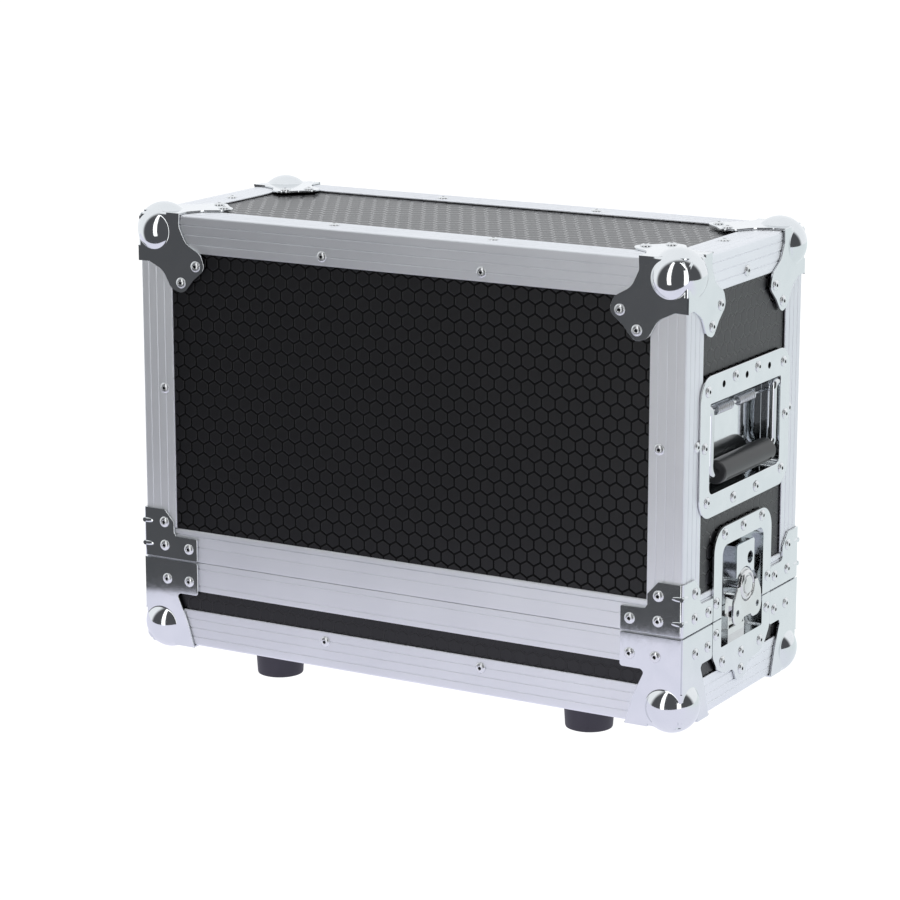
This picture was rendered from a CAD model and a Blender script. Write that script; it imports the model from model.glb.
import math

import bpy
from mathutils import Matrix, Vector


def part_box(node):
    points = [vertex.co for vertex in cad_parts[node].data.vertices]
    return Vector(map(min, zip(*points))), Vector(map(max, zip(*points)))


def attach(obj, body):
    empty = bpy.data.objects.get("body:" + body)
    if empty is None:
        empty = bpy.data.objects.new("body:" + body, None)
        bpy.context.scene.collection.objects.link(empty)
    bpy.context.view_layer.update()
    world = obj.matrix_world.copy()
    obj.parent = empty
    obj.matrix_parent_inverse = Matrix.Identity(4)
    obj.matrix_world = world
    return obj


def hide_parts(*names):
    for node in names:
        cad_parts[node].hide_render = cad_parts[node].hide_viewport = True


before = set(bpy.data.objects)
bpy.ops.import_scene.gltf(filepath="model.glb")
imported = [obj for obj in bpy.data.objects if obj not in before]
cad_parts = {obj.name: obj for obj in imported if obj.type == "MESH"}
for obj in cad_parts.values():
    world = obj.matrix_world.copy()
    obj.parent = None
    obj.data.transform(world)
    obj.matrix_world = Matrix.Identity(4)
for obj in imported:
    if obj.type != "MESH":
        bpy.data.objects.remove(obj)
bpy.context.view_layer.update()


# Edge profiles: satin anodised aluminium extrusions, a 30 mm angle with three fine grooves on each
# face, and flanges inside that hold the panels. Their sawn ends are hidden under the corners.

MM = 0.001
TOUCHING = 1e-6
half_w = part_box("lid_edge_right")[1].x
half_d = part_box("lid_edge_back")[1].y
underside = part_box("base_edge_front")[0].z
case_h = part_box("lid_edge_front")[1].z - underside
W, D, H = 2 * half_w / MM, 2 * half_d / MM, case_h / MM
ENDS = (("right", 1), ("left", -1))
FACES = (("front", -1), ("back", 1))
CORNERS = [(f"{face}_{end}", side_x, side_y) for end, side_x in ENDS for face, side_y in FACES]


def srgb(code):
    """A hex colour as linear RGBA."""
    parts = [int(code[i : i + 2], 16) / 255 for i in (1, 3, 5)]
    return [c / 12.92 if c <= 0.04045 else ((c + 0.055) / 1.055) ** 2.4 for c in parts] + [1.0]


def add_node(tree, kind, inputs=None, **settings):
    """Adds a node. An input given as another node's output is linked to it."""
    node = tree.nodes.new("ShaderNode" + kind)
    for key, value in settings.items():
        setattr(node, key, value)
    for key, value in (inputs or {}).items():
        if isinstance(value, bpy.types.NodeSocket):
            tree.links.new(value, node.inputs[key])
        else:
            node.inputs[key].default_value = value
    return node


def new_finish(name, **values):
    """A Principled material with its constant values on the shader's own sockets."""
    made = bpy.data.materials.new(name)
    made.use_nodes = True
    shader = made.node_tree.nodes["Principled BSDF"]
    for key, value in values.items():
        shader.inputs[key.replace("_", " ")].default_value = value
    return made, made.node_tree, shader


def noise(tree, place, scale, detail=2.0):
    """Noise whose features are about 1 / scale metres across."""
    return add_node(
        tree, "TexNoise", {"Vector": place, "Scale": scale, "Detail": detail}
    ).outputs["Fac"]


def blend(tree, share, first, second):
    """A colour between two hex colours."""
    inputs = {0: share, 6: srgb(first), 7: srgb(second)}
    return add_node(tree, "Mix", inputs, data_type="RGBA").outputs[2]


def raised(tree, height, strength, distance):
    """A bump whose full height is the distance, in metres."""
    inputs = {"Height": height, "Strength": strength, "Distance": distance}
    return add_node(tree, "Bump", inputs).outputs[0]


def connect(tree, shader, **outputs):
    """Links each output to the shader's input of that name."""
    for key, output in outputs.items():
        tree.links.new(output, shader.inputs[key.replace("_", " ")])


def alone(piece):
    bpy.ops.object.select_all(action="DESELECT")
    piece.select_set(True)
    bpy.context.view_layer.objects.active = piece


def open_piece(piece, wanted=None):
    """Opens a piece for editing with all of it selected, or the vertices that wanted picks."""
    alone(piece)
    for parts in (piece.data.vertices, piece.data.edges, piece.data.polygons):
        parts.foreach_set("select", [False] * len(parts))
    for vertex in piece.data.vertices:
        vertex.select = wanted is None or wanted(vertex.co)
    bpy.ops.object.mode_set(mode="EDIT")


def close_piece():
    bpy.ops.mesh.select_all(action="SELECT")
    bpy.ops.mesh.remove_doubles(threshold=TOUCHING)
    bpy.ops.mesh.normals_make_consistent(inside=False)
    bpy.ops.object.mode_set(mode="OBJECT")


def draw_line(name, points):
    """Starts a piece as a line drawn from point to point, left open for editing."""
    bpy.ops.object.select_all(action="DESELECT")
    bpy.ops.mesh.primitive_plane_add(size=MM)
    piece = bpy.context.object
    piece.name = name
    bpy.ops.object.mode_set(mode="EDIT")
    bpy.ops.mesh.merge(type="CENTER")
    bpy.ops.transform.translate(value=points[0])
    for here, ahead in zip(points, points[1:]):
        bpy.ops.mesh.extrude_region_move(TRANSFORM_OT_translate={"value": ahead - here})
    return piece


def cut_sheet(name, outline, low, high, across, steps=6):
    """Stock cut to an outline of (u, v) or (u, v, radius), between two levels across an axis."""

    def point(u, v, level=low):
        return Vector({"x": (level, u, v), "y": (u, level, v), "z": (u, v, level)}[across]) * MM

    corners = [point(*corner[:2]) for corner in outline]
    piece = draw_line(name, corners)
    bpy.ops.mesh.select_all(action="SELECT")
    bpy.ops.mesh.edge_face_add()
    bpy.ops.object.mode_set(mode="OBJECT")
    for index, corner in enumerate(outline):
        if len(corner) > 2:
            here = corners[index]
            back, ahead = corners[index - 1] - here, corners[(index + 1) % len(corners)] - here
            reach = corner[2] * MM / math.tan(back.angle(ahead) / 2)
            open_piece(piece, lambda place: (place - here).length < TOUCHING)
            bpy.ops.mesh.bevel(
                offset=reach, segments=steps, affect="VERTICES", clamp_overlap=False
            )
            bpy.ops.object.mode_set(mode="OBJECT")
    open_piece(piece)
    rise = point(0, 0, high) - point(0, 0, low)
    bpy.ops.mesh.extrude_region_move(TRANSFORM_OT_translate={"value": rise})
    close_piece()
    return piece


def shade(piece, angle=32):
    """Shades smooth up to an angle, with broad faces kept flat beside small radii."""
    alone(piece)
    bpy.ops.object.shade_smooth_by_angle(angle=math.radians(angle))
    piece.modifiers.new("flat_faces", "WEIGHTED_NORMAL").keep_sharp = True
    return piece


def stand_in_corner(side_x, side_y, top):
    """From distances in from a corner of the case to the row frame."""
    spot = Vector((side_x * half_w, side_y * half_d, underside + (case_h if top else 0.0)))
    return Matrix.Translation(spot) @ Matrix.Diagonal((-side_x, -side_y, -1 if top else 1, 1))


def fit(piece, name, place, body, finish, slot, *nodes):
    """Fits a copy of a piece in its place, riding on a body and standing for CAD nodes."""
    copy = piece.copy()
    copy.data = piece.data.copy()
    copy.name = name
    bpy.context.collection.objects.link(copy)
    copy.data.transform(place)
    if place.determinant() < 0:
        copy.data.flip_normals()
    if finish:
        copy.data.materials.clear()
        copy.data.materials.append(finish)
    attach(copy, body)
    if nodes:
        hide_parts(*nodes)
    return copy


def extruded_aluminium(name, along):
    """Anodised aluminium with the faint lines that an extrusion die leaves along its length."""
    made, tree, shader = new_finish(name, Metallic=1.0, Anisotropic=0.5, Anisotropic_Rotation=0.25)
    place = add_node(tree, "TexCoord").outputs["Object"]
    length = add_node(tree, "CombineXYZ", {"xyz".index(along[0]): 1.0})
    tree.links.new(length.outputs[0], shader.inputs["Tangent"])
    # Die lines are about 0.05 mm apart. They are drawn at 0.5 mm, so that they show.
    drawn = [3.0 if axis in along else 1800.0 for axis in "xyz"]
    lines = add_node(tree, "VectorMath", {0: place, 1: drawn}, operation="MULTIPLY").outputs[0]
    fine = noise(tree, lines, 1.0, 3.0)
    rough = add_node(tree, "MapRange", {0: fine, 1: 0.3, 2: 0.7, 3: 0.46, 4: 0.53}).outputs[0]
    tint = blend(tree, noise(tree, place, 18.0), "#e4e6ea", "#eff1f4")
    bump = raised(tree, fine, 0.2, 0.00003)
    connect(tree, shader, Roughness=rough, Base_Color=tint, Normal=bump)
    return made


EDGE_LEG, WALL, CHANNEL, CORE, FLANGE = 30.0, 1.5, 9.1, 10.6, 22.0
RIDGE_R, LIP_R, LIP_BACK_R = 1.8, 0.7, 0.5
GROOVES = (7.6, 15.1, 22.6)
GROOVE_DEPTH, MOUTH, FLOOR = 0.45, 0.6, 0.25


def groove(at):
    """Four points of a groove across a face whose outline runs away from zero."""
    depth = GROOVE_DEPTH
    return [(at - MOUTH, 0.0), (at - FLOOR, depth), (at + FLOOR, depth), (at + MOUTH, 0.0)]


edge_face = [point for at in GROOVES for point in groove(at)]
edge_outline = (
    [(0, 0, RIDGE_R)] + edge_face
    + [(EDGE_LEG, 0, LIP_R), (EDGE_LEG, WALL, LIP_BACK_R), (CORE, WALL), (CORE, CHANNEL)]
    + [(FLANGE, CHANNEL), (FLANGE, CORE), (CORE, CORE), (CORE, FLANGE), (CHANNEL, FLANGE)]
    + [(CHANNEL, CORE), (WALL, CORE), (WALL, EDGE_LEG, LIP_BACK_R), (0, EDGE_LEG, LIP_R)]
    + [(v, u) for u, v in reversed(edge_face)]
)
cut_back = (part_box("lid_edge_front")[0].x + half_w) / MM
post_low, post_high = ((spot.z - underside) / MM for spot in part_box("lid_post_front_right"))
stock = {
    "x": cut_sheet("long_edge", edge_outline, cut_back, W - cut_back, "x", 3),
    "y": cut_sheet("short_edge", edge_outline, cut_back, D - cut_back, "y", 3),
    "z": cut_sheet("post", edge_outline, H - post_high, H - post_low, "z", 3),
}
aluminium = {axis: extruded_aluminium(f"anodised_aluminium_{axis}", axis) for axis in "xyz"}
for piece in stock.values():
    shade(piece)


def fit_edge(name, axis, place):
    body = name.split("_")[0]
    fit(stock[axis], f"{name}_profile", place, body, aluminium[axis], "aluminium", name)


for half, top in (("base", False), ("lid", True)):
    for face, side_y in FACES:
        fit_edge(f"{half}_edge_{face}", "x", stand_in_corner(1, side_y, top))
    for end, side_x in ENDS:
        fit_edge(f"{half}_edge_{end}", "y", stand_in_corner(side_x, 1, top))
for corner, side_x, side_y in CORNERS:
    fit_edge(f"lid_post_{corner}", "z", stand_in_corner(side_x, side_y, True))
for piece in stock.values():
    bpy.data.objects.remove(piece)


# Closing profiles: aluminium extrusions round both rims, mitred at the corners and stopping at the
# latches. A tongue on the base's stands in a groove in the lid's, which has a round bead on top.

BASE_RIM_TOP = 71.25
base_low, base_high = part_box("base_rim_front")[0].z / MM, underside / MM + BASE_RIM_TOP
lid_low, lid_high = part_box("lid_rim_front")[0].z / MM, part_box("lid_rim_front")[1].z / MM
latch_gap = -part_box("lid_rim_front")[1].y
TONGUE_IN, TONGUE_OUT, TONGUE_H, TONGUE_ROOM = 5.0, 6.8, 7.4, 0.4
RIM_R, BEAD_R, BEAD_BACK_R, BEAD, BEAD_DEPTH = 0.6, 1.4, 0.4, 4.6, 0.8
BASE_CAP, BASE_CORE, LID_CAP, LID_CORE = 1.8, 15.0, 4.0, 10.5
SLOT_IN, SLOT_OUT, SLOT_H = TONGUE_IN - TONGUE_ROOM, TONGUE_OUT + TONGUE_ROOM, 7.8


def upright(at, depth=GROOVE_DEPTH):
    """A groove in a rim's outer face, drawn downwards."""
    return [(0, at + MOUTH), (depth, at + FLOOR), (depth, at - FLOOR), (0, at - MOUTH)]


base_rim_outline = (
    [(0, base_high, RIM_R)] + upright(base_high - 5.2) + upright(base_low + 5.0)
    + [(0, base_low, RIM_R), (WALL, base_low, LIP_BACK_R), (WALL, base_high - BASE_CAP)]
    + [(CHANNEL, base_high - BASE_CAP), (CHANNEL, base_high - BASE_CORE)]
    + [(CORE, base_high - BASE_CORE), (CORE, base_high), (TONGUE_OUT, base_high)]
    + [(TONGUE_OUT, base_high + TONGUE_H, RIM_R), (TONGUE_IN, base_high + TONGUE_H, RIM_R)]
    + [(TONGUE_IN, base_high)]
)
lid_rim_outline = (
    [(0, lid_high, BEAD_R)] + upright(lid_high - BEAD, BEAD_DEPTH) + upright(lid_high - 13.4)
    + [(0, lid_low, RIM_R), (SLOT_IN, lid_low), (SLOT_IN, lid_low + SLOT_H)]
    + [(SLOT_OUT, lid_low + SLOT_H), (SLOT_OUT, lid_low), (CORE, lid_low)]
    + [(CORE, lid_high - LID_CAP), (CHANNEL, lid_high - LID_CAP), (CHANNEL, lid_low + LID_CORE)]
    + [(WALL, lid_low + LID_CORE), (WALL, lid_high, BEAD_BACK_R)]
)
aluminium["xy"] = extruded_aluminium("anodised_aluminium_rim", "xy")
for half, outline in (("base", base_rim_outline), ("lid", lid_rim_outline)):
    shifted = [(depth - D / 2, *rest) for depth, *rest in outline]
    rim = cut_sheet(f"{half}_rim", shifted, 0, W / 2 + 1, "x", 3)
    open_piece(rim)
    mitre = (half_w, -half_d, 0)
    bpy.ops.mesh.bisect(plane_co=mitre, plane_no=(1, 1, 0), clear_outer=True, use_fill=True)
    bpy.ops.object.mode_set(mode="OBJECT")
    open_piece(rim, lambda place: abs(place.x + place.y - half_w + half_d) < TOUCHING)
    bpy.ops.mesh.extrude_region_move(TRANSFORM_OT_translate={"value": (0, half_d, 0)})
    bpy.ops.mesh.select_all(action="SELECT")
    stop = (0, -latch_gap, 0)
    bpy.ops.mesh.bisect(plane_co=stop, plane_no=(0, 1, 0), clear_outer=True, use_fill=True)
    bpy.ops.object.mode_set(mode="OBJECT")
    open_piece(rim, lambda place: abs(place.x) < TOUCHING)
    bpy.ops.mesh.delete(type="ONLY_FACE")
    close_piece()
    rim.modifiers.new("other_side", "MIRROR").merge_threshold = 1e-5
    bpy.ops.object.modifier_apply(modifier="other_side")
    shade(rim)
    for face, side_y in FACES:
        node = f"{half}_rim_{face}"
        turn = Matrix.Diagonal((1, -side_y, 1, 1))
        fit(rim, f"{node}_profile", turn, half, aluminium["xy"], "aluminium", node)
    bpy.data.objects.remove(rim)


# Panels: 7 mm birch plywood faced with black phenolic film, pressed in a honeycomb of flat cells
# and fine sunk lines. The film is smooth enough to turn silvery where it is seen at a low angle.

CELL_PITCH, LINE_HALF, SHOULDER_HALF = 11.8, 0.7, 1.05


def honeycomb_film(name, across, up):
    """Phenolic film with pointed cells, drawn in the plane of two axes."""
    made, tree, shader = new_finish(name, IOR=1.5, Specular_IOR_Level=0.45)
    place = add_node(tree, "TexCoord").outputs["Object"]
    parts = add_node(tree, "SeparateXYZ", {0: place}).outputs
    flat = add_node(tree, "CombineXYZ", {0: parts[across], 1: parts[up]})
    share = 1 / (CELL_PITCH * MM)
    cells = add_node(tree, "VectorMath", {0: flat.outputs[0], "Scale": share}, operation="SCALE")
    reach = (0.5, math.sqrt(3) / 2, 1.0)
    back = tuple(-r for r in reach)
    shifted = add_node(tree, "VectorMath", {0: cells.outputs[0], 1: (0.5, reach[1], 0)})
    rows = [
        add_node(tree, "VectorMath", {0: point, 1: reach, 2: back}, operation="WRAP").outputs[0]
        for point in (cells.outputs[0], shifted.outputs[0])
    ]
    far = [
        add_node(tree, "VectorMath", {0: row}, operation="LENGTH").outputs["Value"] for row in rows
    ]
    nearer = add_node(tree, "Math", {0: far[1], 1: far[0]}, operation="LESS_THAN")
    own = add_node(tree, "Mix", {0: nearer.outputs[0], 4: rows[0], 5: rows[1]}, data_type="VECTOR")
    folded = add_node(tree, "VectorMath", {0: own.outputs[1]}, operation="ABSOLUTE").outputs[0]
    slant, side = (
        add_node(tree, "VectorMath", {0: folded, 1: way}, operation="DOT_PRODUCT").outputs["Value"]
        for way in ((0.5, reach[1], 0), (1, 0, 0))
    )
    rim = add_node(tree, "Math", {0: slant, 1: side}, operation="MAXIMUM")
    shoulder, line = 0.5 - SHOULDER_HALF / CELL_PITCH, 0.5 - LINE_HALF / CELL_PITCH
    cell = add_node(
        tree, "MapRange", {0: rim.outputs[0], 1: line, 2: shoulder, 3: 0.0, 4: 1.0},
        interpolation_type="SMOOTHSTEP",
    ).outputs[0]
    grit = noise(tree, place, 1400.0, 3.0)
    film = blend(tree, noise(tree, place, 9.0, 3.0), "#101013", "#161619")
    colour = add_node(tree, "Mix", {0: cell, 6: srgb("#010101"), 7: film}, data_type="RGBA")
    matt = add_node(tree, "MapRange", {0: grit, 3: 0.3, 4: 0.38}).outputs[0]
    rough = add_node(tree, "Mix", {0: cell, 2: 0.12, 3: matt}).outputs[0]
    grain = raised(tree, grit, 0.25, 0.00002)
    tree.links.new(raised(tree, cell, 1.0, 0.0003), grain.node.inputs["Normal"])
    connect(tree, shader, Base_Color=colour.outputs[2], Roughness=rough, Normal=grain)
    return made


film_long = honeycomb_film("honeycomb_phenolic_film_long", 0, 2)
film_end = honeycomb_film("honeycomb_phenolic_film_end", 1, 2)
film_flat = honeycomb_film("honeycomb_phenolic_film_flat", 0, 1)
for node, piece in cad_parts.items():
    if "_panel" in node or "_wall" in node:
        where = node.split("_")[-1]
        finish = film_long if where in ("front", "back") else film_end
        piece.data.materials[0] = film_flat if where in ("top", "panel") else finish


# Ball corners: 1.5 mm steel, pressed into a hollow ball with a flat leaf on each face, plated in
# bright zinc. Each leaf spreads to two rivets, and a small radius runs round the foot of the ball.

OUT_LOW, OUT_HIGH = 0.3, 1.8
BALL_R, BALL_IN = 21.9, 14.0
FILLET, SKIRT, SUNK = 2.0, 0.8, 0.8
FOLD_R, BALL_REACH, SEAM = 3.5, 27.0, -0.75
SHEARED_R = 0.45


def weld_on(piece, *others, operation="UNION"):
    """Joins solid pieces to one, or cuts them out of it, and throws them away."""
    alone(piece)
    for other in others:
        step = piece.modifiers.new("joint", "BOOLEAN")
        step.solver, step.operation, step.object = "MANIFOLD", operation, other
        bpy.ops.object.modifier_apply(modifier="joint")
        bpy.data.objects.remove(other)
    return piece


def cut_out(piece, *others):
    return weld_on(piece, *others, operation="DIFFERENCE")


def block(low_corner, high_corner):
    """A squared block between two corners, to be cut or welded."""
    low_corner, high_corner = Vector(low_corner) * MM, Vector(high_corner) * MM
    bpy.ops.object.select_all(action="DESELECT")
    bpy.ops.mesh.primitive_cube_add(
        size=1, location=(low_corner + high_corner) / 2, scale=high_corner - low_corner
    )
    bpy.ops.object.transform_apply()
    return bpy.context.object


def break_edges(piece, radius, steps=2):
    """Rounds all of a piece's sharp edges."""
    alone(piece)
    step = piece.modifiers.new("radius", "BEVEL")
    step.width, step.segments, step.angle_limit = radius * MM, steps, math.radians(40)
    bpy.ops.object.modifier_apply(modifier="radius")
    return piece


def spin_up(name, profile, turn=Matrix.Identity(4), steps=40):
    """A profile of (radius, height) spun round the Z axis, then turned and set in place."""
    points = [Vector((radius, 0, height)) * MM for radius, height in profile]
    piece = draw_line(name, points)
    bpy.ops.mesh.select_all(action="SELECT")
    if profile[0][0] > 0:
        bpy.ops.mesh.edge_face_add()
        bpy.ops.mesh.delete(type="ONLY_FACE")
        bpy.ops.mesh.select_all(action="SELECT")
    bpy.ops.mesh.spin(steps=steps, angle=2 * math.pi, center=(0, 0, 0), axis=(0, 0, 1))
    close_piece()
    piece.data.transform(turn)
    return piece


# The Z axis turned to each axis, with the others following in order
FACING = {
    "x": Matrix(((0, 0, 1, 0), (1, 0, 0, 0), (0, 1, 0, 0), (0, 0, 0, 1))),
    "y": Matrix(((0, 1, 0, 0), (0, 0, 1, 0), (1, 0, 0, 0), (0, 0, 0, 1))),
    "z": Matrix.Identity(4),
}


def peg(radius, middle, length, axis, sides=32):
    """A round solid about a middle point, along an axis."""
    ends = [(0, -length / 2), (radius, -length / 2), (radius, length / 2), (0, length / 2)]
    return spin_up("peg", ends, Matrix.Translation(Vector(middle) * MM) @ FACING[axis], sides)


def plated_steel(name, colour, rough_low, rough_high, swirl=0.0):
    """Bright plating over pressed metal: near mirror, with the slight ripple under it."""
    made, tree, shader = new_finish(name, Metallic=1.0)
    place = add_node(tree, "TexCoord").outputs["Object"]
    ripple, rubbed = noise(tree, place, 55.0), noise(tree, place, 420.0, 4.0)
    limits = {0: rubbed, 1: 0.3, 2: 0.7, 3: rough_low, 4: rough_high}
    rough = add_node(tree, "MapRange", limits).outputs[0]
    tint = blend(tree, ripple, colour, "#e3e5e6")
    bump = raised(tree, ripple, 0.2 + swirl, 0.0001)
    connect(tree, shader, Base_Color=tint, Roughness=rough, Normal=bump)
    return made


zinc = plated_steel("bright_zinc_plated_steel", "#d6dadc", 0.06, 0.1)


def leaf_sheets(*outlines):
    """Sheets on the three faces of a corner, with folds that are rounder beside the ball."""
    sheets = [
        cut_sheet(f"leaf_{axis}", outline, -OUT_HIGH, -OUT_LOW, axis)
        for axis, outline in zip("xyz", outlines)
    ]
    piece = weld_on(*sheets)
    middle = (FOLD_R - OUT_HIGH,) * 2
    for axis in "xyz":
        crest = block((-3, -3, -3), middle + (BALL_REACH,))
        cut_out(crest, peg(FOLD_R, middle + (0,), 90, "z"))
        crest.data.transform(FACING[axis])
        cut_out(piece, crest)
    return cut_out(piece, block((-3, -3, BALL_REACH + 0.3), (SEAM, SEAM, 90)))


def round_edges(piece, radius, wanted, steps):
    """Rounds the sharp edges whose pair of ends is wanted."""
    open_piece(piece, lambda place: False)
    bpy.ops.mesh.select_mode(type="EDGE")
    bpy.ops.mesh.edges_select_sharp(sharpness=math.radians(30))
    bpy.ops.object.mode_set(mode="OBJECT")
    sharp = [edge.select for edge in piece.data.edges]
    for parts in (piece.data.vertices, piece.data.edges, piece.data.polygons):
        parts.foreach_set("select", [False] * len(parts))
    for edge, chosen in zip(piece.data.edges, sharp):
        ends = [piece.data.vertices[index] for index in edge.vertices]
        if chosen and wanted([end.co for end in ends]):
            edge.select = ends[0].select = ends[1].select = True
    bpy.ops.object.mode_set(mode="EDIT")
    bpy.ops.mesh.bevel(offset=radius * MM, segments=steps, affect="EDGES", clamp_overlap=False)
    bpy.ops.mesh.select_mode(type="VERT")
    close_piece()


def ease_outline(piece, clear):
    """Eases the sheared outer edges of a pressing, away from what is raised out of its sheets."""
    outer = -OUT_HIGH * MM + TOUCHING

    def sheared(ends):
        return all(min(end) < outer for end in ends) and clear((ends[0] + ends[1]) / 2)

    round_edges(piece, SHEARED_R, sheared, 2)
    return shade(piece)


def fillet_ring(axis):
    """The small radius between the ball and a leaf."""
    spread = math.sqrt((BALL_R + FILLET) ** 2 - (BALL_IN + OUT_HIGH + FILLET) ** 2)
    rise = OUT_HIGH + FILLET
    swing = math.asin(spread / (BALL_R + FILLET))
    arc = [
        (spread - FILLET * math.sin(swing * step / 5), FILLET * math.cos(swing * step / 5) - rise)
        for step in range(6)
    ]
    edge = spread + SKIRT
    foot = [(edge, -SUNK), (edge, 0.05 - OUT_HIGH)]
    ring = foot + arc + [(arc[-1][0] - 1.0, -SUNK)]
    fillet = spin_up("fillet", ring, Matrix.Translation((BALL_IN * MM, BALL_IN * MM, 0)), 48)
    cut_out(fillet, block((-9, -9, -9), (1, 60, 9)), block((-9, -9, -9), (60, 1, 9)))
    fillet.data.transform(FACING[axis])
    return fillet


def ball(radius):
    bpy.ops.object.select_all(action="DESELECT")
    bpy.ops.mesh.primitive_ico_sphere_add(
        subdivisions=5, radius=radius * MM, location=(BALL_IN * MM,) * 3
    )
    bpy.ops.object.transform_apply()
    return bpy.context.object


def press_ball(sheets):
    """Raises the ball over the sheets and hollows it."""
    tip = ((-5, -5, -5), (13, 13, 13))
    cut_out(sheets, block(*tip))
    weld_on(sheets, ball(BALL_R), *(fillet_ring(axis) for axis in "xyz"))
    inside = cut_out(block((-0.29, -0.29, -0.29), (160, 160, 160)), block(*tip))
    cut_out(sheets, ball(BALL_R - WALL), inside)
    middle = Vector((BALL_IN,) * 3) * MM

    def clear(place):
        return (place - middle).length > (BALL_R + 3) * MM and max(place.x, place.y) > -0.2 * MM

    return ease_outline(sheets, clear)


RIVET_FAR, RIVET_NEAR = 54.7, 40.3
LOBES = [(60, 30.5, 8), (64, 42, 7), (52, 52, 3), (42, 64, 7), (30.5, 60, 8)]
T = OUT_HIGH
top_leaves = [
    [(-T, -T), (run, -T), (run - 0.5, 9, 6), (45.5, 22.5, 14)] + LOBES
    + [(22.5, 45.5, 14), (9, run - 0.5, 6), (-T, run)]
    for run in (39.0, 39.6, 39.3)
]
top_corner = press_ball(leaf_sheets(*top_leaves))
for corner, side_x, side_y in CORNERS:
    node, place = f"lid_corner_{corner}", stand_in_corner(side_x, side_y, True)
    fit(top_corner, f"{node}_ball", place, "lid", zinc, "zinc_steel", node)
bpy.data.objects.remove(top_corner)


# Lower ball corners: the same pressing with tall leaves that run up to the split. Two rivets hold
# each leaf under its top edge.

LEAF_TOP, LEAF_FOOT, LEAF_WIDE = 70.6, 46.5, 51.2
tall_leaf = [
    (-T, -T), (LEAF_FOOT, -T), (40, 20.6, 90), (30.8, 41, 2), (33.5, 43.2, 1.5),
    (LEAF_WIDE, 43.2, 2.5), (LEAF_WIDE, LEAF_TOP, 1.5), (-T, LEAF_TOP),
]
under_leaf = (
    [(-T, -T), (LEAF_FOOT, -T), (46, 9, 6), (48, 24, 14)] + LOBES
    + [(24, 48, 14), (9, 46, 6), (-T, LEAF_FOOT)]
)
base_corner = press_ball(leaf_sheets(tall_leaf, tall_leaf, under_leaf))
for corner, side_x, side_y in CORNERS:
    node, place = f"base_corner_{corner}", stand_in_corner(side_x, side_y, False)
    fit(base_corner, f"{node}_ball", place, "base", zinc, "zinc_steel", node)
bpy.data.objects.remove(base_corner)


# Corner braces: folded zinc plated angles riveted over the lid's posts and rim. Two darts are
# pressed across the fold to stiffen it.

BRACE_LOW, BRACE_TOP, BRACE_WAIST, DART_HEIGHTS = 71.95, 113.05, 28.5, (82.5, 102.0)
DART_SIZE, DART_PLACE, DART_REACH = (7.5, 2.1, 2.3), (2, -0.6), 11.0
brace_leaf = [
    (-5, BRACE_LOW), (LEAF_WIDE, BRACE_LOW, 1.5), (LEAF_WIDE, BRACE_LOW + 19.2, 1.5),
    (30.4, BRACE_LOW + 19.6, 1), (BRACE_WAIST, BRACE_LOW + 22.5, 1), (BRACE_WAIST, BRACE_TOP - 10),
    (19.5, BRACE_TOP), (-5, BRACE_TOP),
]
far = 60
fold_line = [
    (-T, -T, 2.4), (far, -T), (far, -OUT_LOW), (-OUT_LOW, -OUT_LOW, 0.9), (-OUT_LOW, far),
    (-T, far),
]
swap_xy = Matrix(((0, 1, 0, 0), (1, 0, 0, 0), (0, 0, 1, 0), (0, 0, 0, 1)))
brace = cut_sheet("brace", fold_line, BRACE_LOW - 5, BRACE_TOP + 5, "z")
for axis in "xy":
    weld_on(brace, cut_sheet("outline", brace_leaf, -5, 70, axis), operation="INTERSECT")
for height in DART_HEIGHTS:
    for turn in (Matrix.Identity(4), swap_xy):
        bpy.ops.object.select_all(action="DESELECT")
        bpy.ops.mesh.primitive_uv_sphere_add(
            segments=32, ring_count=16, radius=MM, scale=DART_SIZE,
            location=Vector(DART_PLACE + (height,)) * MM,
        )
        bpy.ops.object.transform_apply()
        dart = bpy.context.object
        dart.data.transform(turn)
        if turn.determinant() < 0:
            dart.data.flip_normals()
        cut_out(
            dart, block((-9, -9, 60), (-2.6, 20, 120)), block((-9, -9, 60), (20, -2.6, 120)),
            block((-0.35, -0.35, 60), (20, 20, 120)),
        )
        weld_on(brace, dart)
ease_outline(brace, lambda place: max(place.x, place.y) > DART_REACH * MM)
for corner, side_x, side_y in CORNERS:
    node, place = f"lid_brace_{corner}", stand_in_corner(side_x, side_y, False)
    fit(brace, f"{node}_angle", place, "lid", zinc, "zinc_steel", node)
bpy.data.objects.remove(brace)


# Blind rivets: 9 mm domed aluminium heads. The broken end of the steel mandrel leaves a dark hole
# in the middle of each.

rivet_metal = plated_steel("bright_rivet_aluminium", "#dcdedf", 0.24, 0.32)
mandrel_steel, tree, shader = new_finish("broken_mandrel_steel", Metallic=0.6, Roughness=0.55)
# Torn grain, about 0.5 mm across
torn = noise(tree, add_node(tree, "TexCoord").outputs["Object"], 2000.0)
connect(tree, shader, Base_Color=blend(tree, torn, "#0c0c0d", "#1c1c1f"))
HEAD = [
    (0, -0.25), (4.5, -0.25), (4.5, 0.35), (4.1, 0.85), (3.3, 1.3), (2.4, 1.6), (1.7, 1.7),
    (1.35, 1.5), (1.25, 0.7), (0.8, 0.45), (0, 0.4),
]
rivet = spin_up("rivet", HEAD, steps=20)
rivet.data.materials.append(rivet_metal)
rivet.data.materials.append(mandrel_steel)
HOLE_R, HOLE_FLOOR = 1.4, 0.2
for part in rivet.data.polygons:
    middle = part.center / MM
    part.material_index = int(middle.xy.length < HOLE_R and middle.z > HOLE_FLOOR)
shade(rivet, 50)


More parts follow.
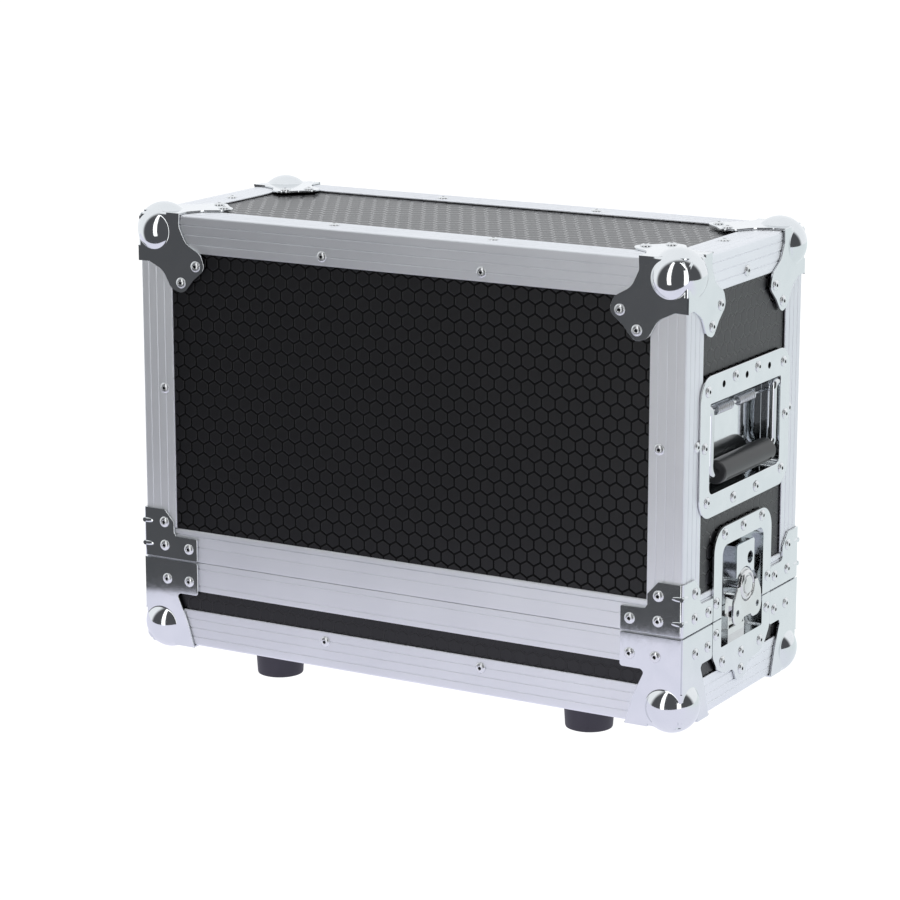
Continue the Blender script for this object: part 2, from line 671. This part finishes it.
def drive_rivets(name, place, body, spots):
    """Rivets at (axis, level, u, v), with heads towards lower values on that axis."""
    driven = []
    for axis, level, u, v in spots:
        spot = {"x": (level, u, v), "y": (v, level, u), "z": (u, v, level)}[axis]
        turn = FACING[axis] @ Matrix.Diagonal((1, -1, -1, 1))
        head = place @ Matrix.Translation(Vector(spot) * MM) @ turn
        driven.append(fit(rivet, name, head, body, None, "zinc_steel"))
    alone(driven[0])
    for copy in driven:
        copy.select_set(True)
    bpy.ops.object.join()
    driven[0].name = name


LEAF, RAIL = -OUT_HIGH, 0.0
RAIL_RIVET, POST_RIVET = 174, H - 215
BRACE_RIVETS = [(19, H - 102.4), (19, H - 82.6), (43, H - 82)]
TALL_RIVETS, TALL_RIVET_UP = (21, 42.8), 54.4
leaf_pair = ((RIVET_FAR, RIVET_NEAR), (RIVET_NEAR, RIVET_FAR))
for corner, side_x, side_y in CORNERS:
    spots = [(axis, LEAF, u, v) for axis in "xyz" for u, v in leaf_pair]
    spots += [("x", LEAF, p, z) for p, z in BRACE_RIVETS]
    spots += [("y", LEAF, z, p) for p, z in BRACE_RIVETS]
    spots += [("x", RAIL, 21, POST_RIVET), ("y", RAIL, POST_RIVET, 21)]
    spots += [("y", RAIL, 22.6, RAIL_RIVET), ("z", RAIL, RAIL_RIVET, 19)]
    if side_y < 0:
        spots += [("x", RAIL, D / 2, 21.6), ("z", RAIL, 19.5, D / 2)]
    drive_rivets(f"lid_rivets_{corner}", stand_in_corner(side_x, side_y, True), "lid", spots)
    spots = [("x", LEAF, p, TALL_RIVET_UP) for p in TALL_RIVETS]
    spots += [("y", LEAF, TALL_RIVET_UP, p) for p in TALL_RIVETS]
    spots += [("z", LEAF, u, v) for u, v in leaf_pair]
    spots += [("y", RAIL, 22, RAIL_RIVET), ("z", RAIL, RAIL_RIVET, 19)]
    drive_rivets(f"base_rivets_{corner}", stand_in_corner(side_x, side_y, False), "base", spots)


# End handles: a dish pressed from 1.5 mm zinc plated steel, with three drain holes over its pan.
# Two torsion springs on a rod under its top edge push the bail back in. Ten rivets hold the dish.

HANDLE_HALF, HANDLE_LOW, HANDLE_HIGH = 81.0, 156.0, 266.4
PAN_HALF, PAN_LOW, PAN_HIGH, PAN_DEPTH = 64.0, 174.0, 244.5, 15.0
LAP, CLEAR_OUT = 0.2, 5
DRAIN_R, DRAIN_Y, DRAIN_Z = 2.7, 41.3, 256.4


def framed(half, bottom, top, bottom_radius, top_radius):
    """An upright oblong about the middle of an end."""
    return [
        (-half, bottom, bottom_radius), (half, bottom, bottom_radius),
        (half, top, top_radius), (-half, top, top_radius),
    ]


def sink_pan(flange, outside, hollow, depth):
    """Presses a pan into a flange, given the outlines of its outside and its hollow."""
    weld_on(flange, cut_sheet("pan", outside, -depth - WALL, OUT_LOW + LAP, "x"))
    cut_out(flange, cut_sheet("hollow", hollow, -depth, CLEAR_OUT, "x"))


def stand_on_end(side):
    """From (out of an end face, along Y, up from the case's underside) to the row frame."""
    return Matrix.Translation((side * half_w, 0.0, underside)) @ Matrix.Diagonal((side, 1, 1, 1))


flange = framed(HANDLE_HALF, HANDLE_LOW, HANDLE_HIGH, 18, 18)
dish = cut_sheet("dish", flange, OUT_LOW, OUT_HIGH, "x", 10)
pan = framed(PAN_HALF + WALL, PAN_LOW - WALL, PAN_HIGH + WALL, 7.5, 2.5)
sink_pan(dish, pan, framed(PAN_HALF, PAN_LOW, PAN_HIGH, 6, 1.2), PAN_DEPTH)
break_edges(dish, 0.7, 3)
cut_out(dish, *(peg(DRAIN_R, (1, y, DRAIN_Z), 4, "x") for y in (-DRAIN_Y, 0, DRAIN_Y)))
shade(dish)
spring_steel = plated_steel("nickel_plated_spring_steel", "#c9ccce", 0.12, 0.2)

SPRING_Z, SPRING_OUT, SPRING_START, SPRING_R, WIRE_R = 233.6, -9.3, 6.0, 3.4, 0.75
SPRING_PITCH, TURNS, SPRING_ROD_R = 3.2, 9, 1.6
bpy.ops.object.select_all(action="DESELECT")
bpy.ops.mesh.primitive_circle_add(
    vertices=10, radius=WIRE_R * MM, location=(SPRING_R * MM, 0, 0), rotation=(math.pi / 2, 0, 0)
)
bpy.ops.object.transform_apply()
spring = bpy.context.object
coil = spring.modifiers.new("coil", "SCREW")
coil.screw_offset, coil.iterations = SPRING_PITCH * MM, TURNS
coil.steps = coil.render_steps = 18
bpy.ops.object.modifier_apply(modifier="coil")
open_piece(spring)
bpy.ops.mesh.fill_holes(sides=20)
close_piece()
spring.data.transform(
    Matrix.Translation(Vector((SPRING_OUT, SPRING_START, SPRING_Z)) * MM) @ FACING["y"]
)
shade(spring, 60)
rod_middle, rod_length = (SPRING_OUT, 0, SPRING_Z), 2 * PAN_HALF - 0.8
spring_rod = shade(break_edges(peg(SPRING_ROD_R, rod_middle, rod_length, "y", 24), 0.3))
DISH_RIVETS = [(20.3, 259), (68.3, 254.8), (73, 212), (67.5, 169), (20.8, 164)]
for end, side_x in ENDS:
    place = stand_on_end(side_x)
    fit(dish, f"handle_dish_{end}_pressing", place, "lid", zinc, "zinc_steel", f"handle_dish_{end}")
    fit(spring_rod, f"handle_spring_rod_{end}", place, "lid", spring_steel, "zinc_steel")
    for face, side_y in FACES:
        turn = place @ Matrix.Diagonal((1, side_y, 1, 1))
        fit(spring, f"handle_spring_{face}_{end}", turn, "lid", spring_steel, "zinc_steel")
    spots = [("x", LEAF, side * y, z) for y, z in DISH_RIVETS for side in (-1, 1)]
    outwards = place @ Matrix.Diagonal((-1, 1, 1, 1))
    drive_rivets(f"handle_dish_rivets_{end}", outwards, "lid", spots)
for piece in (dish, spring, spring_rod):
    bpy.data.objects.remove(piece)


# Handle bails: 7.5 mm chromed steel rod, bent round four corners and hinged under the top edge of
# the dish. The grip moulded round its lower run is black plastic with a long slot on its outside.

BAIL_Y, BAIL_TOP, BAIL_LOW, BAIL_R, BAIL_OUT = 57.0, 239.5, 188.0, 3.75, -2.5
BAIL_HALF, TOP_BEND, LOW_BEND = PAN_HALF - 0.5, 5.0, 8.0
GRIP_R, GRIP_BORE, GRIP_HALF = 9.5, BAIL_R + 0.1, 47.0
SLOT_HALF, SLOT_SIDE, SLOT_END_R, SLOT_TURN = 41, 1.1, 1.05, 0.55

chrome = plated_steel("chrome_plated_steel", "#c4c8ca", 0.05, 0.1)
bpy.ops.object.select_all(action="DESELECT")
bpy.ops.mesh.primitive_circle_add(
    vertices=20, radius=BAIL_R * MM, rotation=(math.pi / 2, 0, 0),
    location=Vector((BAIL_OUT, -BAIL_HALF, BAIL_TOP)) * MM,
)
bpy.ops.object.transform_apply()
bail = bpy.context.object
open_piece(bail)


def run_rod(y, z):
    """Runs the rod on straight."""
    bpy.ops.mesh.extrude_region_move(TRANSFORM_OT_translate={"value": (0, y * MM, z * MM)})


def bend_rod(y, z, quarter):
    """Bends the rod a quarter turn round a point in its plane: 1 turns up, -1 turns down."""
    bpy.ops.mesh.spin(
        steps=10, angle=quarter * math.pi / 2, center=Vector((BAIL_OUT, y, z)) * MM, axis=(-1, 0, 0)
    )


end_run = BAIL_HALF - BAIL_Y - TOP_BEND
run_rod(end_run, 0)
bend_rod(-BAIL_Y - TOP_BEND, BAIL_TOP - TOP_BEND, -1)
run_rod(0, BAIL_LOW - BAIL_TOP + TOP_BEND + LOW_BEND)
bend_rod(-BAIL_Y + LOW_BEND, BAIL_LOW + LOW_BEND, 1)
run_rod(2 * (BAIL_Y - LOW_BEND), 0)
bend_rod(BAIL_Y - LOW_BEND, BAIL_LOW + LOW_BEND, 1)
run_rod(0, BAIL_TOP - BAIL_LOW - TOP_BEND - LOW_BEND)
bend_rod(BAIL_Y + TOP_BEND, BAIL_TOP - TOP_BEND, -1)
run_rod(end_run, 0)
bpy.ops.mesh.select_all(action="SELECT")
bpy.ops.mesh.fill_holes(sides=24)
close_piece()
shade(bail, 50)

grip_plastic, tree, shader = new_finish("moulded_black_polypropylene", Roughness=0.36, IOR=1.49)
place = add_node(tree, "TexCoord").outputs["Object"]
tint = blend(tree, noise(tree, place, 60.0), "#2b2c2d", "#363737")
# Spark-eroded mould grain, about 0.6 mm across
bump = raised(tree, noise(tree, place, 1600.0), 0.35, 0.00003)
connect(tree, shader, Base_Color=tint, Normal=bump)
grip_end = [(-GRIP_R + GRIP_BORE, 0), (-2.2, 0), (-0.9, 0.4), (-0.15, 1.4), (0, 2.6)]
grip_profile = [(GRIP_R + out, up - GRIP_HALF) for out, up in grip_end]
grip_profile += [(GRIP_R + out, GRIP_HALF - up) for out, up in reversed(grip_end)]
lie_along = Matrix.Translation(Vector((BAIL_OUT, 0, BAIL_LOW)) * MM) @ FACING["y"]
grip = spin_up("grip", grip_profile, lie_along, 56)
slot_out = BAIL_OUT + GRIP_R * math.cos(SLOT_TURN)
slot_z = BAIL_LOW - GRIP_R * math.sin(SLOT_TURN)
slot = framed(SLOT_HALF, slot_z - SLOT_SIDE, slot_z + SLOT_SIDE, SLOT_END_R, SLOT_END_R)
cut_out(grip, cut_sheet("slot", slot, slot_out - SLOT_SIDE, slot_out + 6, "x"))
shade(grip)
for end, side_x in ENDS:
    place, body = stand_on_end(side_x), f"handle_{end}"
    rod, grip_node = f"handle_bail_{end}", f"handle_grip_{end}"
    fit(bail, f"{rod}_rod", place, body, chrome, "zinc_steel", rod)
    fit(grip, f"{grip_node}_moulding", place, body, grip_plastic, "grip_plastic", grip_node)
bpy.data.objects.remove(bail)
bpy.data.objects.remove(grip)


# Latch dishes: two zinc plated steel pressings meet at the split to make one well. A bridge across
# the upper one carries the drum's axle, and has a round hole. Rivets hold both flanges.

WELL_HALF, WELL_LOW, WELL_HIGH, WELL_DEPTH = 37.5, 47.6, 128.4, 13.0
FLANGE_HALF, FLANGE_TOP, SPLIT, SPLIT_GAP = 52.4, 143.5, 71.4, 0.5
AXLE_Z, DRUM_ROOM = 90.0, 14.3
BRIDGE_HALF, BRIDGE_LOW, BRIDGE_HIGH, BRIDGE_OUT = 16.0, 98.0, 124.4, 3.9
PEEPHOLE_R, PEEPHOLE_PLACE = 5, (2, 8.5, 110)

nickel = plated_steel("bright_nickel_plated_steel", "#cfcfcd", 0.06, 0.12, 0.25)
well_back = -WELL_DEPTH - 0.5
flange = framed(FLANGE_HALF, SPLIT + SPLIT_GAP, FLANGE_TOP, 0.6, 19)
upper = cut_sheet("upper", flange, OUT_LOW, OUT_HIGH, "x", 10)
pan = framed(WELL_HALF + WALL, SPLIT + SPLIT_GAP, WELL_HIGH + WALL, 0.2, 9.5)
sink_pan(upper, pan, framed(WELL_HALF, SPLIT - 9, WELL_HIGH, 1, 8), WELL_DEPTH)
shade(break_edges(upper, 0.6, 3))
plate_outline = framed(BRIDGE_HALF, BRIDGE_LOW, BRIDGE_HIGH, 0.4, 2.5)
plate = cut_sheet("plate", plate_outline, BRIDGE_OUT - WALL, BRIDGE_OUT, "x")
for side in (-1, 1):
    cheek = sorted((side * BRIDGE_HALF, side * (BRIDGE_HALF - WALL)))
    cheek_low = (well_back, cheek[0], BRIDGE_LOW)
    weld_on(plate, block(cheek_low, (BRIDGE_OUT - 0.4, cheek[1], BRIDGE_HIGH - 1.5)))
cut_out(plate, peg(DRUM_ROOM, (2, 0, AXLE_Z), 8, "x", 48))
break_edges(plate, 0.5)
cut_out(plate, peg(PEEPHOLE_R, PEEPHOLE_PLACE, 6, "x"))
shade(plate)

KEEPER_HALF, KEEPER_OUT, KEEPER_TOP, KEEPER_BAR_TOP = 15.0, -3.0, 66.0, 56.0
KEEPER_LEG, KEEPER_FOOT, RUNG_IN, RUNG_LOW, RUNG_HIGH = 1.8, WELL_LOW - 0.3, -9.0, 58.5, 61.5
half_flange = [
    (9, 13, 8), (12, 24, 8), (32, 26, 8), (43, 31, 6), (FLANGE_HALF, 43, 10),
    (FLANGE_HALF, SPLIT - SPLIT_GAP),
]
lower_outline = half_flange + [(-u, *rest) for u, *rest in reversed(half_flange)]
lower = cut_sheet("lower", lower_outline, OUT_LOW, OUT_HIGH, "x")
pan = framed(WELL_HALF + WALL, WELL_LOW - WALL, SPLIT - SPLIT_GAP, 2, 0.2)
sink_pan(lower, pan, framed(WELL_HALF, WELL_LOW, SPLIT + 9, 1.5, 1), WELL_DEPTH)
shade(break_edges(lower, 0.6, 3))
bar_low = (KEEPER_OUT - WALL, -KEEPER_HALF, KEEPER_FOOT)
keeper = block(bar_low, (KEEPER_OUT, KEEPER_HALF, KEEPER_BAR_TOP))
for side in (-1, 1):
    leg = sorted((side * KEEPER_HALF, side * (KEEPER_HALF - KEEPER_LEG)))
    leg_low = (well_back, leg[0], KEEPER_FOOT)
    weld_on(keeper, block(leg_low, (KEEPER_OUT - 0.2, leg[1], KEEPER_TOP)))
rung = ((RUNG_IN, 1 - KEEPER_HALF, RUNG_LOW), (KEEPER_OUT - 0.4, KEEPER_HALF - 1, RUNG_HIGH))
shade(break_edges(weld_on(keeper, block(*rung)), 0.35))
UPPER_RIVETS = [(0, 137.3), (34, 137.7), (-34, 137.7), (47, 85.6), (-47, 85.6)]
LOWER_RIVETS = [(46.2, 60.2), (-46.2, 60.2), (34.6, 35.8), (-34.6, 35.8), (0, 35.2), (0, 21.3)]
for end, side_x in ENDS:
    place = stand_on_end(side_x)
    outwards = place @ Matrix.Diagonal((-1, 1, 1, 1))
    node = f"latch_dish_{end}"
    fit(upper, f"{node}_pressing", place, "lid", zinc, "zinc_steel", node)
    fit(plate, f"latch_bridge_{end}", place, "lid", zinc, "zinc_steel", node)
    spots = [("x", LEAF, y, z) for y, z in UPPER_RIVETS]
    drive_rivets(f"latch_dish_rivets_{end}", outwards, "lid", spots)
    node = f"latch_keeper_{end}"
    fit(lower, f"{node}_pressing", place, "base", zinc, "zinc_steel", node)
    fit(keeper, f"{node}_hoop", place, "base", nickel, "zinc_steel", node)
    spots = [("x", LEAF, y, z) for y, z in LOWER_RIVETS]
    drive_rivets(f"latch_keeper_rivets_{end}", outwards, "base", spots)
for piece in (upper, plate, lower, keeper, rivet):
    bpy.data.objects.remove(piece)


# Latch drums, wings and hooks: nickel plated steel. The wing folds out on the drum and turns it, a
# crank pin on the drum's back lifts the hook, and the hook's toe pulls up on the keeper's rung.

CRANK, PIN_R, HOOK_BACK, HOOK_FRONT = 3.0, 3.0, -12.0, -9.6
DRUM_R, DRUM_BACK = 13.5, -9.0
drum_profile = [
    (0, DRUM_BACK), (DRUM_R - 0.4, DRUM_BACK), (DRUM_R, DRUM_BACK + 0.4), (DRUM_R, 3.5),
    (DRUM_R - 0.4, 3.9), (12.1, 3.9), (12, 4.1), (12, 5.4), (11.6, 6.1), (10.9, 6.6), (9.6, 7.0),
    (9.2, 6.6), (8.9, 5.4), (7.3, 5.4), (7.0, 6.9), (6.5, 7.3), (4, 7.6), (0, 7.75),
]
spin_place = Matrix.Translation(Vector((0, 0, AXLE_Z)) * MM) @ FACING["x"]
drum = spin_up("drum", drum_profile, spin_place, 56)
pin_in, pin_length = (HOOK_BACK - 0.4 - 8.5) / 2, -8.1 - HOOK_BACK
weld_on(drum, peg(PIN_R, (pin_in, 0, AXLE_Z + CRANK), pin_length, "x"))
shade(drum)

WING_LOW, WING_HIGH, WING_TOP, NOTCH_R = 4.5, 6.5, AXLE_Z + 1, 13.0
WING_HOLE_R, WING_HOLE_Y, WING_HOLE_Z = 2.7, 18, 71
half_wing = [
    (7, 65, 3), (10.5, 61.5, 5), (26.5, 61.5, 8.5), (25, 81, 6), (18.5, WING_TOP, 1.5),
    (NOTCH_R - 1, WING_TOP),
]
wing_outline = half_wing + [(-u, *rest) for u, *rest in reversed(half_wing)]
wing = cut_sheet("wing", wing_outline, WING_LOW, WING_HIGH, "x", 8)
cut_out(wing, peg(NOTCH_R, (5, 0, AXLE_Z), 8, "x", 48))
break_edges(wing, 0.7, 3)
for y in (-WING_HOLE_Y, WING_HOLE_Y):
    cut_out(wing, peg(WING_HOLE_R, (5, y, WING_HOLE_Z), 8, "x"))
shade(wing)

HOOK_HALF, HOOK_LOW, TOE_OUT, TOE_H = 7.0, 54.5, -5.6, 3.0
hook_top = AXLE_Z + CRANK
shank = framed(HOOK_HALF, HOOK_LOW, hook_top + HOOK_HALF, 0.6, 6.5)
hook = cut_sheet("hook", shank, HOOK_BACK, HOOK_FRONT, "x")
toe_low = (HOOK_BACK + 0.4, 1 - HOOK_HALF, HOOK_LOW + 0.05)
weld_on(hook, block(toe_low, (TOE_OUT, HOOK_HALF - 1, HOOK_LOW + TOE_H)))
break_edges(hook, 0.4)
cut_out(hook, peg(PIN_R + 0.4, (-11, 0, hook_top), 6, "x"))
shade(hook)
for end, side_x in ENDS:
    place = stand_on_end(side_x)
    for part, piece in (("drum", drum), ("wing", wing), ("hook", hook)):
        node = f"latch_{part}_{end}"
        fit(piece, f"{node}_plated", place, node, nickel, "zinc_steel", node)
for piece in (drum, wing, hook):
    bpy.data.objects.remove(piece)


# Feet: moulded black rubber, a little wider at the top, screwed up through a pocket in the middle.

foot_high = underside / MM - 0.3
foot_profile = [
    (0, 7), (8, 7), (8.4, 1), (9.2, 0), (17.6, 0), (18.6, 0.4), (19, 1.4), (20.5, foot_high - 0.5),
    (20.2, foot_high), (0, foot_high),
]
foot = spin_up("foot", foot_profile, steps=56)
shade(foot)
rubber, tree, shader = new_finish("moulded_black_rubber", Roughness=0.55, IOR=1.5)
place = add_node(tree, "TexCoord").outputs["Object"]
tint = blend(tree, noise(tree, place, 70.0, 4.0), "#2c2a33", "#38353f")
bump = raised(tree, noise(tree, place, 900.0), 0.4, 0.00004)
connect(tree, shader, Base_Color=tint, Normal=bump)
for corner, _, _ in CORNERS:
    node = f"foot_{corner}"
    low_corner, high_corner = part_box(node)
    middle = (low_corner + high_corner) / 2
    spot = Matrix.Translation((middle.x, middle.y, 0))
    fit(foot, f"{node}_moulding", spot, "base", rubber, "rubber", node)
bpy.data.objects.remove(foot)


# Studio: a lit white table and backdrop, two tall softboxes behind the camera, and an unlit room
# round them, which gives the bright metal its dark bands.

CAMERA_PLACE, CAMERA_YAW, CAMERA_PITCH, LENS = (1.2225, -2.1289, 0.7557), 30.19, 12.88, 123.9
SENSOR = 36.0
camera = bpy.data.objects.new("camera", bpy.data.cameras.new("camera"))
bpy.context.collection.objects.link(camera)
camera.location = CAMERA_PLACE
camera.rotation_euler = (math.radians(90 - CAMERA_PITCH), 0, math.radians(CAMERA_YAW))
camera.data.lens, camera.data.sensor_width = LENS, SENSOR
camera.data.clip_start, camera.data.clip_end = 0.01, 100.0
bpy.context.scene.camera = camera
bpy.context.scene.view_settings.view_transform = "Standard"


def glow(name, strength, colour="#ffffff"):
    """A plain light-emitting finish."""
    made = bpy.data.materials.new(name)
    made.use_nodes = True
    made.node_tree.nodes.clear()
    light = add_node(made.node_tree, "Emission", {"Color": srgb(colour), "Strength": strength})
    add_node(made.node_tree, "OutputMaterial", {"Surface": light.outputs[0]})
    return made


def stand(name, finish):
    """Marks the last primitive as part of the studio."""
    piece = bpy.context.object
    piece.name = name
    piece.data.materials.append(finish)
    return piece


TABLE_SIZE, TABLE_TURN, TABLE_MIDDLE = 4.0, -11.6, (0.7, 1.51, -0.0005)
TABLE_GLOW, BACKDROP_GLOW, BACKDROP_R, TINT_START, TINT_END = 1.05, 1.1, 20.0, -1.7, -1.3
bpy.ops.object.select_all(action="DESELECT")
bpy.ops.mesh.primitive_plane_add(
    size=TABLE_SIZE, location=TABLE_MIDDLE, rotation=(0, 0, math.radians(TABLE_TURN))
)
acrylic = glow("lit_white_acrylic", TABLE_GLOW)
tree = acrylic.node_tree
depth = add_node(tree, "SeparateXYZ", {0: add_node(tree, "TexCoord").outputs["Object"]}).outputs[1]
share = add_node(tree, "MapRange", {0: depth, 1: TINT_START, 2: TINT_END}).outputs[0]
connect(tree, tree.nodes["Emission"], Color=blend(tree, share, "#f0efff", "#eef5f7"))
table = stand("floor", acrylic)
table.visible_camera = False
bpy.ops.mesh.primitive_uv_sphere_add(segments=32, ring_count=16, radius=BACKDROP_R)
backdrop = stand("backdrop", glow("white_paper_backdrop", BACKDROP_GLOW))
for unseen in ("glossy", "diffuse", "transmission", "volume_scatter", "shadow"):
    setattr(backdrop, f"visible_{unseen}", False)

world = bpy.data.worlds.new("room")
bpy.context.scene.world = world
world.use_nodes = True
tree = world.node_tree
tree.nodes.clear()
way = add_node(tree, "TexCoord").outputs["Generated"]
CAMERA_SIDE, UNLIT_START, UNLIT_END, ROOM_GLOW = (0.498, -0.867, -0.35), -0.2, 0.08, 1.1
towards = add_node(tree, "VectorMath", {0: way, 1: CAMERA_SIDE}, operation="DOT_PRODUCT")
unlit = add_node(
    tree, "MapRange", {0: towards.outputs["Value"], 1: UNLIT_START, 2: UNLIT_END},
    interpolation_type="SMOOTHSTEP",
).outputs[0]
room = blend(tree, unlit, "#fafcff", "#525356")
light = add_node(tree, "Background", {"Color": room, "Strength": ROOM_GLOW})
add_node(tree, "OutputWorld", {"Surface": light.outputs[0]})

SOFTBOX_DISTANCE, SOFTBOX_HEIGHT, SOFTBOX_SIZE, SOFTBOX_POWER = 4.0, 3.0, (1.12, 9.0), 62.0
for name, swing in (("left", -39.0), ("right", 26.5)):
    bearing = math.radians(swing) + math.atan2(CAMERA_SIDE[1], CAMERA_SIDE[0])
    light = bpy.data.lights.new(f"softbox_{name}", "AREA")
    light.shape, light.energy = "RECTANGLE", SOFTBOX_POWER
    light.size, light.size_y = SOFTBOX_SIZE
    lamp = bpy.data.objects.new(f"softbox_{name}", light)
    bpy.context.collection.objects.link(lamp)
    outwards = Vector((math.cos(bearing), math.sin(bearing), 0)) * SOFTBOX_DISTANCE
    lamp.location = outwards + Vector((0, 0, SOFTBOX_HEIGHT))
    lamp.rotation_euler = outwards.to_track_quat("Z", "Y").to_euler()
    lamp.visible_camera = False
